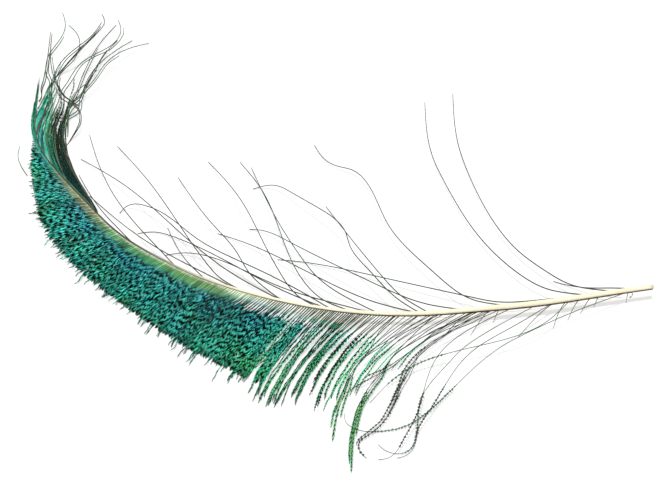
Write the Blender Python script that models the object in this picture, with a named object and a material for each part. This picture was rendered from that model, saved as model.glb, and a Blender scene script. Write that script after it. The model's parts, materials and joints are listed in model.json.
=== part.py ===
"""A peacock's side-tail feather, lying on a flat surface.

The feather is a curved shaft with a dense vane of barbs on its outer side, a short dense vane on the inner
side of its tip, and loose barbs everywhere else. It lies on the outer ends of its barbs, and the shaft stays
clear of the surface. Lengths are in millimetres here, and MM turns them into metres at the end.

Plan view: +X runs from the tip to the cut end, +Y from the dense vane to the loose barbs, and +Z is up.
"""

import bmesh
import bpy
import numpy as np

MM = 0.001

# The gap that touching pieces keep, and the wider one beside the shaft's curved side.
GAP = 0.3
VANE_GAP = 0.5

# Shaft: its route in plan from the cut end to the tip, then its height and diameter by distance from the cut.
SHAFT_ROUTE = [
    (191, -35), (160, -40), (124, -46), (88, -50), (52, -53), (16, -52), (-26, -45), (-54, -37), (-80, -27),
    (-104, -14), (-128, 3), (-149, 26), (-167, 48), (-177, 65), (-180, 78), (-179, 91),
]
SHAFT_HEIGHT = [(0, 5.6), (100, 5.2), (200, 5.0), (300, 4.5), (380, 3.4), (440, 1.4)]
SHAFT_DIAMETER = [(0, 3.6), (30, 4.0), (90, 3.7), (140, 3.0), (200, 2.2), (275, 1.4), (350, 0.9), (440, 0.5)]
SHAFT_SIDES = 10
SHAFT_RINGS = 64
QUILL_CUT_SLANT = 2.5

# Outer vane: by the shaft's own X, the length of the barbs there and the way they point at root and at tip,
# in degrees from +X, counted through +Y.
OUTER_VANE = [
    # shaft X, length, root heading, tip heading
    (-179.2, 10, 96, 100),
    (-179.8, 13, 98, 104),
    (-177, 13, 105, 125),
    (-172, 12, 145, 170),
    (-167, 15, 165, 182),
    (-158, 23, 176, 194),
    (-149, 32, 182, 202),
    (-141, 36, 188, 210),
    (-128, 36, 200, 220),
    (-104, 39, 211, 227),
    (-80, 44, 214, 231),
    (-54, 50, 215, 234),
    (-26, 56, 215, 235),
    (4, 64, 216, 238),
    (28, 76, 218, 245),
    (40, 73, 219, 246),
    (64, 70, 209, 226),
    (88, 59, 205, 220),
]
OUTER_VANE_ROWS = 44
OUTER_VANE_COLUMNS = [0.0, 0.22, 0.45, 0.7, 1.0]
OUTER_VANE_THICKNESS = [0.8, 1.2, 1.4, 1.4, 1.0]
# From this share of a barb's length outward, the vane lies flat on the surface.
FLAT_FROM = 0.7

# Tip vane: its width beside the shaft by distance from the cut, and how far it runs on past the shaft's tip.
TIP_VANE_WIDTH = [(352, 1.5), (372, 4.5), (385, 6.5), (396, 10), (410, 14), (424, 18), (440, 20), (452, 17)]
TIP_VANE_PAST_TIP = 8
TIP_VANE_ROWS = 12
TIP_VANE_THICKNESS = 1.0
TIP_VANE_FLAT_EDGE = 0.45

# Loose barbs: thickness at root and tip, and the height at which their ends lie.
BARB_DIAMETER = (0.5, 0.26)
BARB_SIDES = 4
BARB_RING_SPACING = 6
BARB_END_HEIGHT = 0.12
VANE_EDGE_HEIGHT = 0.9

# Each loose barb: how high it arches, then its route in plan from its root to its tip. A route whose root is
# on the shaft starts at the shaft's upper or lower side beside its first point.
UPPER_BARBS = [
    (0.0, [(162, -39), (142, -33), (128, -24), (111, -9), (100, 6), (82, 46), (76, 67), (73, 103)]),
    (0.0, [(147, -42), (128, -36), (111, -25), (98, -12), (86, 4), (68, 39), (60, 60), (56, 97)]),
    (0.0, [(171, -37), (152, -34), (132, -28)]),
    (3.0, [(98, -48), (84, -44), (61, -26), (33, 9), (21, 38), (12, 48), (1, 52), (-6, 58), (-11, 67)]),
    (1.0, [(120, -47), (98, -45), (84, -42), (30, -27), (-24, -14), (-33, -13)]),
    (6.0, [(72, -50), (58, -48), (24, -34), (-26, -3), (-44, 7), (-50, 8)]),
    (2.0, [(55, -51), (42, -42), (30, -28), (-4, 24)]),
    (7.0, [(50, -51), (40, -45), (22, -26), (10, -8), (8, 0), (-9, 19), (-26, 32), (-34, 37), (-48, 36)]),
    (0.0, [(6, -50), (-3, -45), (-18, -29), (-24, -17), (-43, 36), (-56, 55)]),
    (6.0, [(24, -51), (8, -43), (-10, -29), (-19, -16), (-31, 6), (-49, 51)]),
    (3.0, [(46, -51), (26, -46), (8, -38), (-55, -1), (-69, 5)]),
    (7.5, [(-13, -48), (-19, -43), (-31, -28), (-40, -10), (-55, 24), (-75, 55)]),
    (5.0, [(-33, -43), (-50, -26), (-57, -13), (-72, 8), (-93, 44)]),
    (4.0, [(-60, -35), (-68, -28), (-74, -21), (-110, 38), (-130, 66)]),
    (0.0, [(-79, -27), (-85, -19), (-99, 9)]),
    (3.0, [(-97, -18), (-132, 30), (-140, 49), (-147, 74)]),
    (6.0, [(-35, -42), (-57, -29), (-98, 8), (-124, 35), (-152, 57)]),
    (10.0, [(-4, -49), (-46, -26), (-81, -5), (-115, 23), (-122, 24), (-128, 19)]),
    (1.0, [(-9, -47), (-26, -39), (-97, 3), (-107, 6), (-117, 5)]),
    (3.5, [(16, -51), (-32, -35), (-66, -16), (-92, -9), (-100, -10)]),
    (1.0, [(-64, -33), (-114, 0), (-146, 31)]),
    (1.0, [(-124, 1), (-138, 18), (-153, 46)]),
]
LOWER_BARBS = [
    (0.0, [(170, -41), (141, -53), (117, -65), (100, -75), (90, -83), (57, -117), (45, -126), (30, -130),
           (11, -127), (8, -124), (7, -118)]),
    (4.0, [(140, -47), (128, -59), (102, -72), (63, -82), (48, -88), (33, -99), (22, -111)]),
    (4.5, [(128, -47), (106, -64), (80, -83), (57, -119), (50, -132), (46, -145), (38, -148)]),
    (1.0, [(118, -49), (90, -67), (75, -79), (69, -86), (52, -111), (50, -130), (44, -144), (33, -144),
           (27, -139)]),
    (5.5, [(104, -51), (82, -65), (63, -83), (56, -99), (50, -121), (41, -139), (34, -148), (27, -149)]),
]
TUFT_STRANDS = [
    (0.0, [(-177, 105), (-174, 124), (-172, 147)]),
    (2.0, [(-174, 116), (-174, 125), (-164, 145), (-163, 152), (-165, 161)]),
    (5.0, [(-158, 97), (-163, 100), (-167, 106), (-171, 146)]),
    (1.0, [(-167, 109), (-166, 115), (-159, 124), (-154, 138), (-155, 144), (-161, 152)]),
    (4.0, [(-172, 105), (-165, 123), (-146, 144), (-141, 154)]),
    (8.0, [(-166, 117), (-143, 142), (-139, 151), (-141, 160)]),
    (6.0, [(-165, 103), (-160, 111), (-153, 121), (-133, 136), (-129, 146), (-131, 156)]),
    (1.0, [(-156, 102), (-140, 141), (-132, 152)]),
    (2.0, [(-152, 102), (-145, 116), (-138, 131), (-131, 141)]),
    (3.0, [(-158, 94), (-154, 97), (-151, 105), (-142, 122), (-122, 141)]),
    (5.5, [(-154, 92), (-152, 101), (-146, 108), (-138, 121), (-124, 133), (-112, 139)]),
    (5.0, [(-158, 71), (-154, 78), (-153, 86), (-156, 91), (-164, 97), (-168, 108)]),
    (7.0, [(-160, 77), (-159, 89), (-150, 110)]),
]
VANE_STRANDS = [
    (1.8, [(66, -66), (44, -91), (24, -131), (15, -140), (20, -148)]),
    (1.0, [(46, -93), (32, -121)]),
    (0.0, [(8, -103), (4, -114), (0, -137)]),
    (1.5, [(28, -94), (21, -105), (14, -125), (11, -158)]),
    (2.0, [(31, -90), (20, -97), (8, -104)]),
]
STRAY_BARB = (0.0, [(-184, 45), (-190, 60), (-189, 66)])

MATERIALS = {
    # name: (colour, roughness, metallic)
    "shaft_keratin": ((0.88, 0.80, 0.66), 0.35, 0.0),
    "vane_iridescent": ((0.02, 0.22, 0.17), 0.4, 0.3),
    "barb_dark": ((0.06, 0.07, 0.05), 0.5, 0.1),
}


def lengths_along(points):
    return np.concatenate([[0], np.cumsum(np.linalg.norm(np.diff(points, axis=0), axis=1))])


def smooth_route(points, count):
    """count points along the natural cubic spline through the given ones, evenly spaced."""
    points = np.array(points, float)
    knots = lengths_along(points)
    gaps = np.diff(knots)
    size = len(points)
    matrix = np.eye(size)
    right = np.zeros_like(points)
    for i in range(1, size - 1):
        matrix[i, i - 1 : i + 2] = gaps[i - 1], 2 * (gaps[i - 1] + gaps[i]), gaps[i]
        right[i] = 6 * ((points[i + 1] - points[i]) / gaps[i] - (points[i] - points[i - 1]) / gaps[i - 1])
    bend = np.linalg.solve(matrix, right)

    def at(distance):
        i = np.clip(np.searchsorted(knots, distance, side="right") - 1, 0, size - 2)
        h = gaps[i][:, None]
        a = (knots[i + 1] - distance)[:, None] / h
        b = 1 - a
        cubic = ((a**3 - a) * bend[i] + (b**3 - b) * bend[i + 1]) * h**2 / 6
        return a * points[i] + b * points[i + 1] + cubic

    fine = at(np.linspace(0, knots[-1], 40 * size))
    along = lengths_along(fine)
    even = np.linspace(0, along[-1], count)
    return np.stack([np.interp(even, along, fine[:, axis]) for axis in range(points.shape[1])], axis=1)


def look_up(table, where):
    keys, values = zip(*table)
    return np.interp(where, keys, values)


class Shaft:
    """The shaft's centre line, with its diameter and its sideways direction at each ring."""

    def __init__(self):
        plan = smooth_route(SHAFT_ROUTE, SHAFT_RINGS)
        self.distance = lengths_along(plan)
        self.centre = np.column_stack([plan, look_up(SHAFT_HEIGHT, self.distance)])
        self.radius = look_up(SHAFT_DIAMETER, self.distance) / 2
        way = np.gradient(plan, axis=0)
        way /= np.linalg.norm(way, axis=1)[:, None]
        # Turned to the right of the way from cut to tip: towards +Y, the side of the loose barbs.
        self.side = np.column_stack([way[:, 1], -way[:, 0]])

    def at(self, distance):
        """(centre, radius, side) at a distance from the cut end."""
        centre = np.array([np.interp(distance, self.distance, self.centre[:, k]) for k in range(3)])
        side = np.array([np.interp(distance, self.distance, self.side[:, k]) for k in range(2)])
        return centre, np.interp(distance, self.distance, self.radius), side / np.linalg.norm(side)

    def nearest(self, point):
        """The distance from the cut end of the place beside a point in plan."""
        fine = np.linspace(0, self.distance[-1], 2000)
        plan = np.column_stack([np.interp(fine, self.distance, self.centre[:, k]) for k in range(2)])
        return fine[np.argmin(np.linalg.norm(plan - point, axis=1))]


def new_object(name, vertices, faces, material, smooth):
    mesh = bpy.data.meshes.new(name)
    mesh.from_pydata([tuple(v) for v in np.asarray(vertices) * MM], [], faces)
    build = bmesh.new()
    build.from_mesh(mesh)
    bmesh.ops.recalc_face_normals(build, faces=build.faces)
    build.to_mesh(mesh)
    build.free()
    mesh.materials.append(material)
    if smooth:
        mesh.shade_smooth()
        mesh.set_sharp_from_angle(angle=np.radians(50))
    part = bpy.data.objects.new(name, mesh)
    bpy.context.scene.collection.objects.link(part)
    return part


def tube(name, centre, radius, sides, material, cut_slant=0.0):
    """A closed tube with flat ends along a route. cut_slant tilts the first end by that much across it."""
    way = np.gradient(centre, axis=0)
    way /= np.linalg.norm(way, axis=1)[:, None]
    across = np.cross(way, (0, 0, 1))
    across /= np.linalg.norm(across, axis=1)[:, None]
    up = np.cross(across, way)
    turn = 2 * np.pi * (np.arange(sides) + 0.5) / sides
    vertices = []
    for k, point in enumerate(centre):
        ring = point + radius[k] * (np.outer(np.cos(turn), across[k]) + np.outer(np.sin(turn), up[k]))
        if k == 0:
            ring = ring - np.outer(np.sin(turn) * cut_slant / 2, way[0])
        vertices.extend(ring)
    faces = [tuple(range(sides)), tuple(reversed(range(len(vertices) - sides, len(vertices))))]
    for k in range(len(centre) - 1):
        for j in range(sides):
            a = k * sides + j
            b = k * sides + (j + 1) % sides
            faces.append((a, a + sides, b + sides, b))
    return new_object(name, vertices, faces, material, smooth=True)


def slab(name, rows_top, rows_bottom, material):
    """A closed sheet between two grids of points with the same rows and columns."""
    rows, columns = len(rows_top), len(rows_top[0])
    vertices = [v for row in rows_top for v in row] + [v for row in rows_bottom for v in row]
    under = rows * columns
    faces = []

    def wall(path):
        for a, b in zip(path, path[1:]):
            faces.append((a, b, b + under, a + under))

    for i in range(rows - 1):
        for j in range(columns - 1):
            a = i * columns + j
            quad = (a, a + 1, a + columns + 1, a + columns)
            faces.append(quad)
            faces.append(tuple(v + under for v in reversed(quad)))
    first = list(range(columns))
    last = [v + (rows - 1) * columns for v in first]
    wall(list(reversed(first)))
    wall(last)
    wall([i * columns for i in range(rows)])
    wall([i * columns + columns - 1 for i in reversed(range(rows))])
    return new_object(name, vertices, faces, material, smooth=False)


def barb_plan(root, length, root_heading, tip_heading, shares):
    """Points at the given shares of a barb that turns evenly from one heading to the other."""
    steps = 24
    fine = (np.arange(steps) + 0.5) / steps
    heading = np.radians(root_heading + (tip_heading - root_heading) * fine)
    moves = np.column_stack([np.cos(heading), np.sin(heading)]) * length / steps
    walk = np.vstack([root, root + np.cumsum(moves, axis=0)])
    where = np.linspace(0, 1, steps + 1)
    return np.column_stack([np.interp(shares, where, walk[:, k]) for k in range(2)])


def make_outer_vane(shaft, material):
    """The dense vane: it slopes from the shaft's side down to the surface, and is flat from there outward."""
    table = np.array(OUTER_VANE)
    stations = np.array([shaft.distance[np.argmin(np.abs(shaft.centre[:, 0] - x))] for x in table[:, 0]])
    order = np.argsort(stations)
    stations, table = stations[order], table[order]
    shares = np.array(OUTER_VANE_COLUMNS)
    rows_top, rows_bottom = [], []
    for distance in np.linspace(stations[0], stations[-1], OUTER_VANE_ROWS):
        centre, radius, side = shaft.at(distance)
        root = centre[:2] - side * (radius + VANE_GAP)
        length, root_heading, tip_heading = (np.interp(distance, stations, table[:, k]) for k in (1, 2, 3))
        plan = barb_plan(root, length, root_heading, tip_heading, shares)
        thickness = np.array(OUTER_VANE_THICKNESS)
        slope = np.clip(1 - shares / FLAT_FROM, 0, 1) ** 1.2
        bottom = (centre[2] - thickness[0] / 2) * slope
        rows_bottom.append(np.column_stack([plan, bottom]))
        rows_top.append(np.column_stack([plan, bottom + thickness]))
    return slab("outer_vane", rows_top, rows_bottom, material)


def make_tip_vane(shaft, material):
    """The dense inner side of the tip, beside the shaft and a little way past its end."""
    start = TIP_VANE_WIDTH[0][0]
    end = shaft.distance[-1] + TIP_VANE_PAST_TIP
    rows_top, rows_bottom = [], []
    for distance in np.linspace(start, end, TIP_VANE_ROWS):
        centre, radius, side = shaft.at(min(distance, shaft.distance[-1]))
        past = max(0.0, distance - shaft.distance[-1])
        onward = np.array([-side[1], side[0]])
        inner = centre[:2] + side * (radius + VANE_GAP) + onward * past
        outer = inner + side * look_up(TIP_VANE_WIDTH, distance)
        base = max(centre[2] - TIP_VANE_THICKNESS / 2, 0.0)
        middle = inner + (outer - inner) * TIP_VANE_FLAT_EDGE
        heights = [base, 0.0, 0.0]
        plan = np.array([inner, middle, outer])
        rows_bottom.append(np.column_stack([plan, heights]))
        rows_top.append(np.column_stack([plan, np.array(heights) + TIP_VANE_THICKNESS]))
    return slab("tip_vane", rows_top, rows_bottom, material)


def loose_barb(name, arch, route, start_height, material):
    """A thin tapered barb along a smooth route, from its root's height down to the surface, with an arch."""
    count = max(4, int(round(lengths_along(np.array(route, float))[-1] / BARB_RING_SPACING)) + 1)
    plan = smooth_route(route, count)
    share = lengths_along(plan) / lengths_along(plan)[-1]
    drop = share * share * (3 - 2 * share)
    height = start_height + (BARB_END_HEIGHT - start_height) * drop + arch * 4 * share * (1 - share)
    radius = (BARB_DIAMETER[0] + (BARB_DIAMETER[1] - BARB_DIAMETER[0]) * share) / 2
    return tube(name, np.column_stack([plan, height]), radius, BARB_SIDES, material)


def rooted(shaft, route, above):
    """The route with its first point on the shaft's surface, and the height there."""
    centre, radius, side = shaft.at(shaft.nearest(route[0]))
    reach = radius + GAP + BARB_DIAMETER[0] / 2
    root = centre[:2] + side * (reach if above else -reach)
    return [tuple(root)] + route[1:], centre[2]


def make_loose_barbs(shaft, material):
    for side, barbs in (("upper", UPPER_BARBS), ("lower", LOWER_BARBS)):
        for number, (arch, route) in enumerate(barbs, 1):
            route, height = rooted(shaft, route, side == "upper")
            loose_barb(f"{side}_barb_{number:02d}", arch, route, height, material)
    for group, strands in (("tuft", TUFT_STRANDS), ("vane", VANE_STRANDS)):
        for number, (arch, route) in enumerate(strands, 1):
            loose_barb(f"{group}_strand_{number:02d}", arch, route, VANE_EDGE_HEIGHT, material)
    arch, route = STRAY_BARB
    loose_barb("stray_barb", arch, route, VANE_EDGE_HEIGHT, material)


def make_material(name):
    colour, roughness, metallic = MATERIALS[name]
    material = bpy.data.materials.new(name)
    material.use_nodes = True
    shader = material.node_tree.nodes["Principled BSDF"]
    shader.inputs["Base Color"].default_value = (*colour, 1)
    shader.inputs["Roughness"].default_value = roughness
    shader.inputs["Metallic"].default_value = metallic
    return material


def rest_on_origin():
    """Moves every mesh so that the whole feather's box stands centred on the origin."""
    meshes = [part.data for part in bpy.data.objects]
    points = np.array([v.co for mesh in meshes for v in mesh.vertices])
    low, high = points.min(axis=0), points.max(axis=0)
    shift = np.array([(low[0] + high[0]) / 2, (low[1] + high[1]) / 2, low[2]])
    for mesh in meshes:
        for vertex in mesh.vertices:
            vertex.co = [vertex.co[k] - shift[k] for k in range(3)]


def main():
    for old in list(bpy.data.objects):
        bpy.data.objects.remove(old)
    shaft = Shaft()
    keratin = make_material("shaft_keratin")
    tube("shaft", shaft.centre, shaft.radius, SHAFT_SIDES, keratin, QUILL_CUT_SLANT)
    iridescent = make_material("vane_iridescent")
    make_outer_vane(shaft, iridescent)
    make_tip_vane(shaft, iridescent)
    make_loose_barbs(shaft, make_material("barb_dark"))
    rest_on_origin()


main()
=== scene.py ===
"""The looks of a peacock's side-tail feather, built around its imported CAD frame.

Each barb is a thin ramus with two rows of barbules, all of it closed geometry. The shaft and the loose barbs
follow the centre lines of their CAD nodes, and the dense vanes grow from the shaft by rule. Lengths are in
millimetres, and MM turns them into metres where a mesh is made. A station is a distance along the shaft from
its cut end.
"""

import json

import bpy
import numpy as np
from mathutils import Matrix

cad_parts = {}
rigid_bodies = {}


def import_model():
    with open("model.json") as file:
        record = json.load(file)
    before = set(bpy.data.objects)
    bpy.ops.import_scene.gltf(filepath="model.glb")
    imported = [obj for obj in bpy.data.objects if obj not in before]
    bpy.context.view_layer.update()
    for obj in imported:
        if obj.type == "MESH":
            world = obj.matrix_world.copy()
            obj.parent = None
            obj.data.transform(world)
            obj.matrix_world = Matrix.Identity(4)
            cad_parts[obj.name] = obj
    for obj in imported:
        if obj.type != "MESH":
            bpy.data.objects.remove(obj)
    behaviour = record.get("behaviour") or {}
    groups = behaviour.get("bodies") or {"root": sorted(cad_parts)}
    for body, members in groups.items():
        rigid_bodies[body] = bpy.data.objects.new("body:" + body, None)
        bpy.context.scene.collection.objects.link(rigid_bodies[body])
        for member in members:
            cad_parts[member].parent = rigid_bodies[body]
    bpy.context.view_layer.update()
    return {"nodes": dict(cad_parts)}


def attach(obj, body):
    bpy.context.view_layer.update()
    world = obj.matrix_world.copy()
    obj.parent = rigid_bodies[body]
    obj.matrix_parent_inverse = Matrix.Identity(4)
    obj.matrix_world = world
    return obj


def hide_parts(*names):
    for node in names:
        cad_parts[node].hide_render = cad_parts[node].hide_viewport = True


MM = 0.001
SEED = 7
FLOOR_CLEARANCE = 0.04

# Camera, floor and lights.
LENS = 400
SENSOR = 36
VIEW_WIDTH = 0.399
VIEW_ELEVATION = 60
VIEW_CENTRE = (-0.00107, -0.00151, 0.0)
FLOOR_SIZE = 12.0
FLOOR_DROP = 0.1
# The dome of light: its strength below one height and above another, as the sine of the elevation.
DOME_LOW = (0.1, 0.45)
DOME_HIGH = (0.7, 1.1)
LIGHTS = {
    "key": dict(place=(-0.7, 0.9, 1.6), size=0.9, power=26),
    "fill": dict(place=(0.9, -0.5, 1.5), size=1.2, power=4),
}

# Shaft. Its section is a rounded square, by this power, with a groove along its underside: how deep, by its share
# of the radius, and how wide, in radians.
SHAFT_RINGS = 180
SHAFT_SIDES = 24
SHAFT_SQUARENESS = 2.6
SHAFT_GROOVE = (0.16, 0.4)
# Towards its cut end the quill is slimmer than its CAD node: by up to what share, and over what length.
QUILL_SLIMMING = 0.16
QUILL_SLIM_LENGTH = 90
# The cut end: how far it slants, and the hollow in it, by its share of the radius and its depth.
QUILL_SLANT = 0.7
QUILL_HOLLOW = 0.7
QUILL_DEPTH = 5.0

# Outer vane: station, barb length, heading at the root and at the tip, in degrees from +X through +Y.
OUTER_VANE = [
    (84, 55, 208, 232),
    (104, 62, 208, 240),
    (125, 70, 210, 246),
    (153, 72, 219, 256),
    (167, 72, 221, 256),
    (188, 71, 224, 251),
    (200, 65, 223, 247),
    (216, 60, 222, 242),
    (251, 51, 219, 237),
    (278, 44, 214, 231),
    (306, 39, 211, 227),
    (334, 36, 200, 220),
    (348, 36, 188, 210),
    (362, 32, 182, 202),
    (376, 24, 176, 194),
    (390, 17, 168, 186),
    (402, 10, 165, 184),
    (410, 5.5, 160, 180),
    (416, 3.5, 150, 170),
]
# How late an outer barb turns from one heading to the other, by station: 1 is evenly.
LATE_TURN = [(104, 1.7), (190, 1.4), (230, 1.0)]
# The gap from barb to barb along the shaft, by station.
BARB_GAP = [(104, 7), (131, 5), (152, 3.1), (165, 1.55), (190, 1.4), (222, 1.65), (240, 1.5), (262, 1.4),
            (440, 1.3)]
# By station: how much of a barb's base is bare, and where its smooth flat zone ends.
BARE_BASE = [(84, 44), (104, 40), (125, 31), (150, 19), (170, 12), (200, 7.5), (235, 4), (262, 0)]
SMOOTH_BASE = [(235, 3.4), (262, 5.6), (300, 4.8), (350, 3.2), (400, 1.2), (438, 0.3)]
VANE_ROOT_GAP = 0.1
# The share of its length at which an outer barb has come down to the surface.
VANE_FLAT_FROM = 0.72
# The vane is made as several pieces, which meet at these stations.
VANE_PIECES = [106, 215, 265, 310, 355, 416]
# How much a barb's heading varies, in degrees: everywhere, and on top of that in a bundle.
BARB_TURN = (3.5, 2.5)
# Neighbouring barbs lean towards one line, as a clump: the shortest and longest clump along the shaft, and how
# far its barbs lean, as a share of the way.
CLUMP = (2.5, 8.0)
CLUMP_PULL = (0.05, 0.35)
# At the bare end of the dense vane the clumps are longer and closer bundles, with loose barbs among them: the
# stations between which a long one may start, its shortest and longest length, and how much more its barbs lean.
BUNDLE_STARTS = (150, 220)
BUNDLE = (5.0, 9.5)
BUNDLE_PULL = 0.25
BUNDLE_LOOSE_SHARE = 0.45
# Where that end begins and over what length it comes in, and the same for where it ends.
BUNDLED_FROM = (150, 15)
BUNDLED_TO = (228, 20)
# Towards the quill every barb is loose: the station where that begins, and over what length it becomes so.
SPARSE_VANE = (186, 28)
# The station from which the dense barbs have no bare base. Before it their barbules start after this share of it.
DENSE_FROM = 262
BARE_DENSE_START = 0.55
# A lower layer fills the gaps of the dense vane: its first and last station, the share of the barbs that have one
# at its first station, and the length over which all of them come to. It is shorter than the barb above, its root
# is beside that barb's, and before DENSE_FROM it starts further out, by this much and fading over this length.
UNDER_LAYER = (198, 414)
UNDER_SHARE = 0.3
UNDER_FADE = 22
UNDER_LENGTH = 0.94
UNDER_SHIFT = 0.7
UNDER_START = 4
UNDER_START_FADE = 20
# Barbs that are black from their first barbules on: first and last station, and how black.
BLACK_BARBS = [(108, 112, 0.9), (126, 131, 0.9), (162, 169, 0.95), (184, 188, 0.6), (338, 346, 0.5)]
# Beyond the outer vane, a narrow bundle runs along its side of the shaft: first and last root, and its width.
SIDE_BUNDLE = (392, 437)
SIDE_BUNDLE_WIDTH = [(392, 0.4), (415, 1.6), (440, 2.6), (470, 4.0)]
SIDE_BUNDLE_GAP = 1.5
# Its shortest and longest barb, the station where the last one ends, and how unevenly they end.
SIDE_BUNDLE_LENGTH = (16, 46)
SIDE_BUNDLE_END = 464
SIDE_BUNDLE_RAGGED = 16
# The stations whose colours the side bundle, the tip vane and the short hairs take.
SIDE_BUNDLE_COLOUR = 424
TIP_COLOUR = 428
SHORT_HAIR_COLOUR = 105
# Short stray hairs at the bare end of the shaft: station, side, length, heading at the root and at the tip.
SHORT_HAIRS = [
    (13, 1, 5, 350, 10),
    (15, 1, 4.5, 248, 262),
    (33, 1, 5, 228, 240),
    (38, 1, 10, 222, 242),
    (45, 1, 13, 226, 252),
    (47, -1, 9, 172, 160),
    (53, 1, 17, 228, 260),
    (61, 1, 29, 214, 234),
    (93, 1, 7, 230, 250),
    (99, 1, 18, 222, 242),
    (105, 1, 14, 196, 208),
]

# Tip vane: how far it spreads beside the shaft, by station.
TIP_VANE_WIDTH = [(348, 0.6), (372, 4.8), (385, 7.4), (396, 11.2), (410, 15.4), (424, 17.6), (440, 19), (456, 20)]
TIP_VANE_ROOTS = (352, 437)
TIP_VANE_GAP = 0.7
TIP_VANE_FAN = 0.9
# Its first barbs, which end up at its black inner edge, stand closer: over what length, and by what share of the
# gap.
TIP_CLOSE_LENGTH = 42
TIP_CLOSE_GAP = 0.58
# Tip barbs that leave the shaft within this length of each other lie together, as one streak.
TIP_STREAK = 3.0
# The share of the green streaks that are black instead.
TIP_DARK_SHARE = 0.4
# By how far out a tip barb ends up, from 0 beside the shaft to 1 at the inner edge: the station where it ends.
TIP_VANE_END = [(0.0, 456), (0.25, 448), (0.5, 434), (0.65, 424), (1.0, 420)]

# How a barb's barbules are made. ramus: its radius at root and tip; length, gap and width of the barbules; lean:
# their angle from the ramus in degrees, in the smooth base zone and beyond it; twist: how far the rows turn, in
# radians, and over what length; beads: how strongly they gather into beads; jitter: how uneven they are.
# The dense vane has DENSE barbs, BARE_DENSE ones where their bases are bare, with UNDER ones below them. FINE,
# SPARSE and LEAFY are the looser outer barbs, STRAND is for the two full vane strands, and TIP and TIP_LOOSE are
# the tip vane's green barbs and black ones. HAIR, TUFT and BEADED are the loose barbs.
DENSE = dict(ramus=(0.22, 0.1), length=3.0, gap=0.25, width=0.5, lean=(36, 12), twist=0.65, period=(3.4, 5.6),
             beads=0.0, jitter=0.045)
BARE_DENSE = dict(DENSE, ramus=(0.4, 0.12))
UNDER = dict(DENSE, length=2.5, gap=0.5, width=1.4, lean=(45, 45), twist=0.15)
SPARSE = dict(ramus=(0.28, 0.15), length=1.55, gap=0.2, width=0.5, lean=(42, 52), twist=0.4, period=(1.9, 2.6),
              beads=0.94, jitter=0.08)
FINE = dict(SPARSE, ramus=(0.24, 0.16), length=1.25, period=(1.6, 2.2))
LEAFY = dict(SPARSE, ramus=(0.35, 0.15), length=2.9, gap=0.27, width=0.6, lean=(32, 30), twist=0.9,
             period=(2.0, 3.2), beads=0.4)
STRAND = dict(LEAFY, ramus=(0.28, 0.14), gap=0.28, width=0.62)
TIP = dict(DENSE, ramus=(0.24, 0.12), length=1.35, gap=0.42, width=0.46, lean=(15, 20), twist=1.0, jitter=0.12)
TIP_LOOSE = dict(TIP, ramus=(0.28, 0.14), length=1.8, width=0.62, lean=(26, 34), period=(1.8, 2.8), beads=0.75)
HAIR = dict(ramus=(0.4, 0.26), length=0.7, gap=0.3, width=0.32, lean=(38, 40), twist=0.5, period=(1.8, 2.6),
            beads=0.7, jitter=0.12)
SHORT_HAIR = dict(HAIR, ramus=(0.28, 0.14))
TUFT = dict(HAIR, ramus=(0.4, 0.25), gap=0.24, period=(1.5, 2.3), beads=0.95)
BEADED = dict(HAIR, ramus=(0.26, 0.2), length=1.5, gap=0.18, width=0.5, period=(1.9, 2.7), beads=0.95,
              lean=(50, 54), jitter=0.2)
# The gap between a ramus's rings, and a barbule's thickness as a share of its width.
RAMUS_STEP = 1.6
BARBULE_RIDGE = 0.22
# How far before the end of its smooth base a barb starts to turn iridescent, and over what length it does.
ZONE_LEAD = 2.0
ZONE_FADE = 7.0
# The length over which its barbules come free to twist after that base.
FREE_FADE = 3.0
# The loose barbs by CAD node name: how many, their barbules, how green most and some of them are, how many finer
# barbs run beside each one and how far from it, and the shares of the length between which barbules grow.
LOOSE_BARBS = {
    "upper_barb": dict(count=22, style=HAIR, green=(0.02, 0.1), others=0, spread=0.0, bare=0.12, full=1.0),
    "lower_barb": dict(count=5, style=BEADED, green=(0.03, 0.25), others=0, spread=0.0, bare=0.58, full=0.9),
    "tuft_strand": dict(count=13, style=TUFT, green=(0.03, 0.25), others=1, spread=1.7, bare=0.1, full=1.0),
    "vane_strand": dict(count=5, style=BEADED, green=(0.05, 0.05), others=1, spread=2.0),
    "stray_barb": dict(count=1, style=HAIR, green=(0.2, 0.2), others=0, spread=0.0, bare=0.1, full=1.0),
}
# How far a tuft strand goes on past its CAD solid, where no streamline of the tip vane leads to it.
TUFT_ROOT = 5.0
# The vane strands that are green and full, and how many barbs each of those has.
LEAFY_STRANDS = ("vane_strand_03", "vane_strand_04")
LEAFY_STRAND_BARBS = 4
# How far apart the barbs of a vane strand leave the shaft, and the share of the CAD solid that has barbules.
STRAND_ROOTS = (5.0, 14.0)
STRAND_FULL = (0.62, 0.9)

# What a material reads at each point of a barb: the station and the share of its length, how iridescent it is, a
# value of the barb's own, lower on lower outer barbs as painted shade, a painted highlight and shade that follow
# how its barbules twist, and how black it is, which is also painted shade on the lower layer.
FACTS = ("station", "share", "zone", "luck", "spark", "gloom")


def look_up(table, where):
    keys, values = zip(*table)
    return np.interp(where, keys, values)


def ease(x):
    x = np.clip(x, 0, 1)
    return x * x * (3 - 2 * x)


def unit(vectors):
    return vectors / np.linalg.norm(vectors, axis=-1)[..., None]


def lengths_along(points):
    return np.concatenate([[0], np.cumsum(np.linalg.norm(np.diff(points, axis=0), axis=1))])


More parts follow.
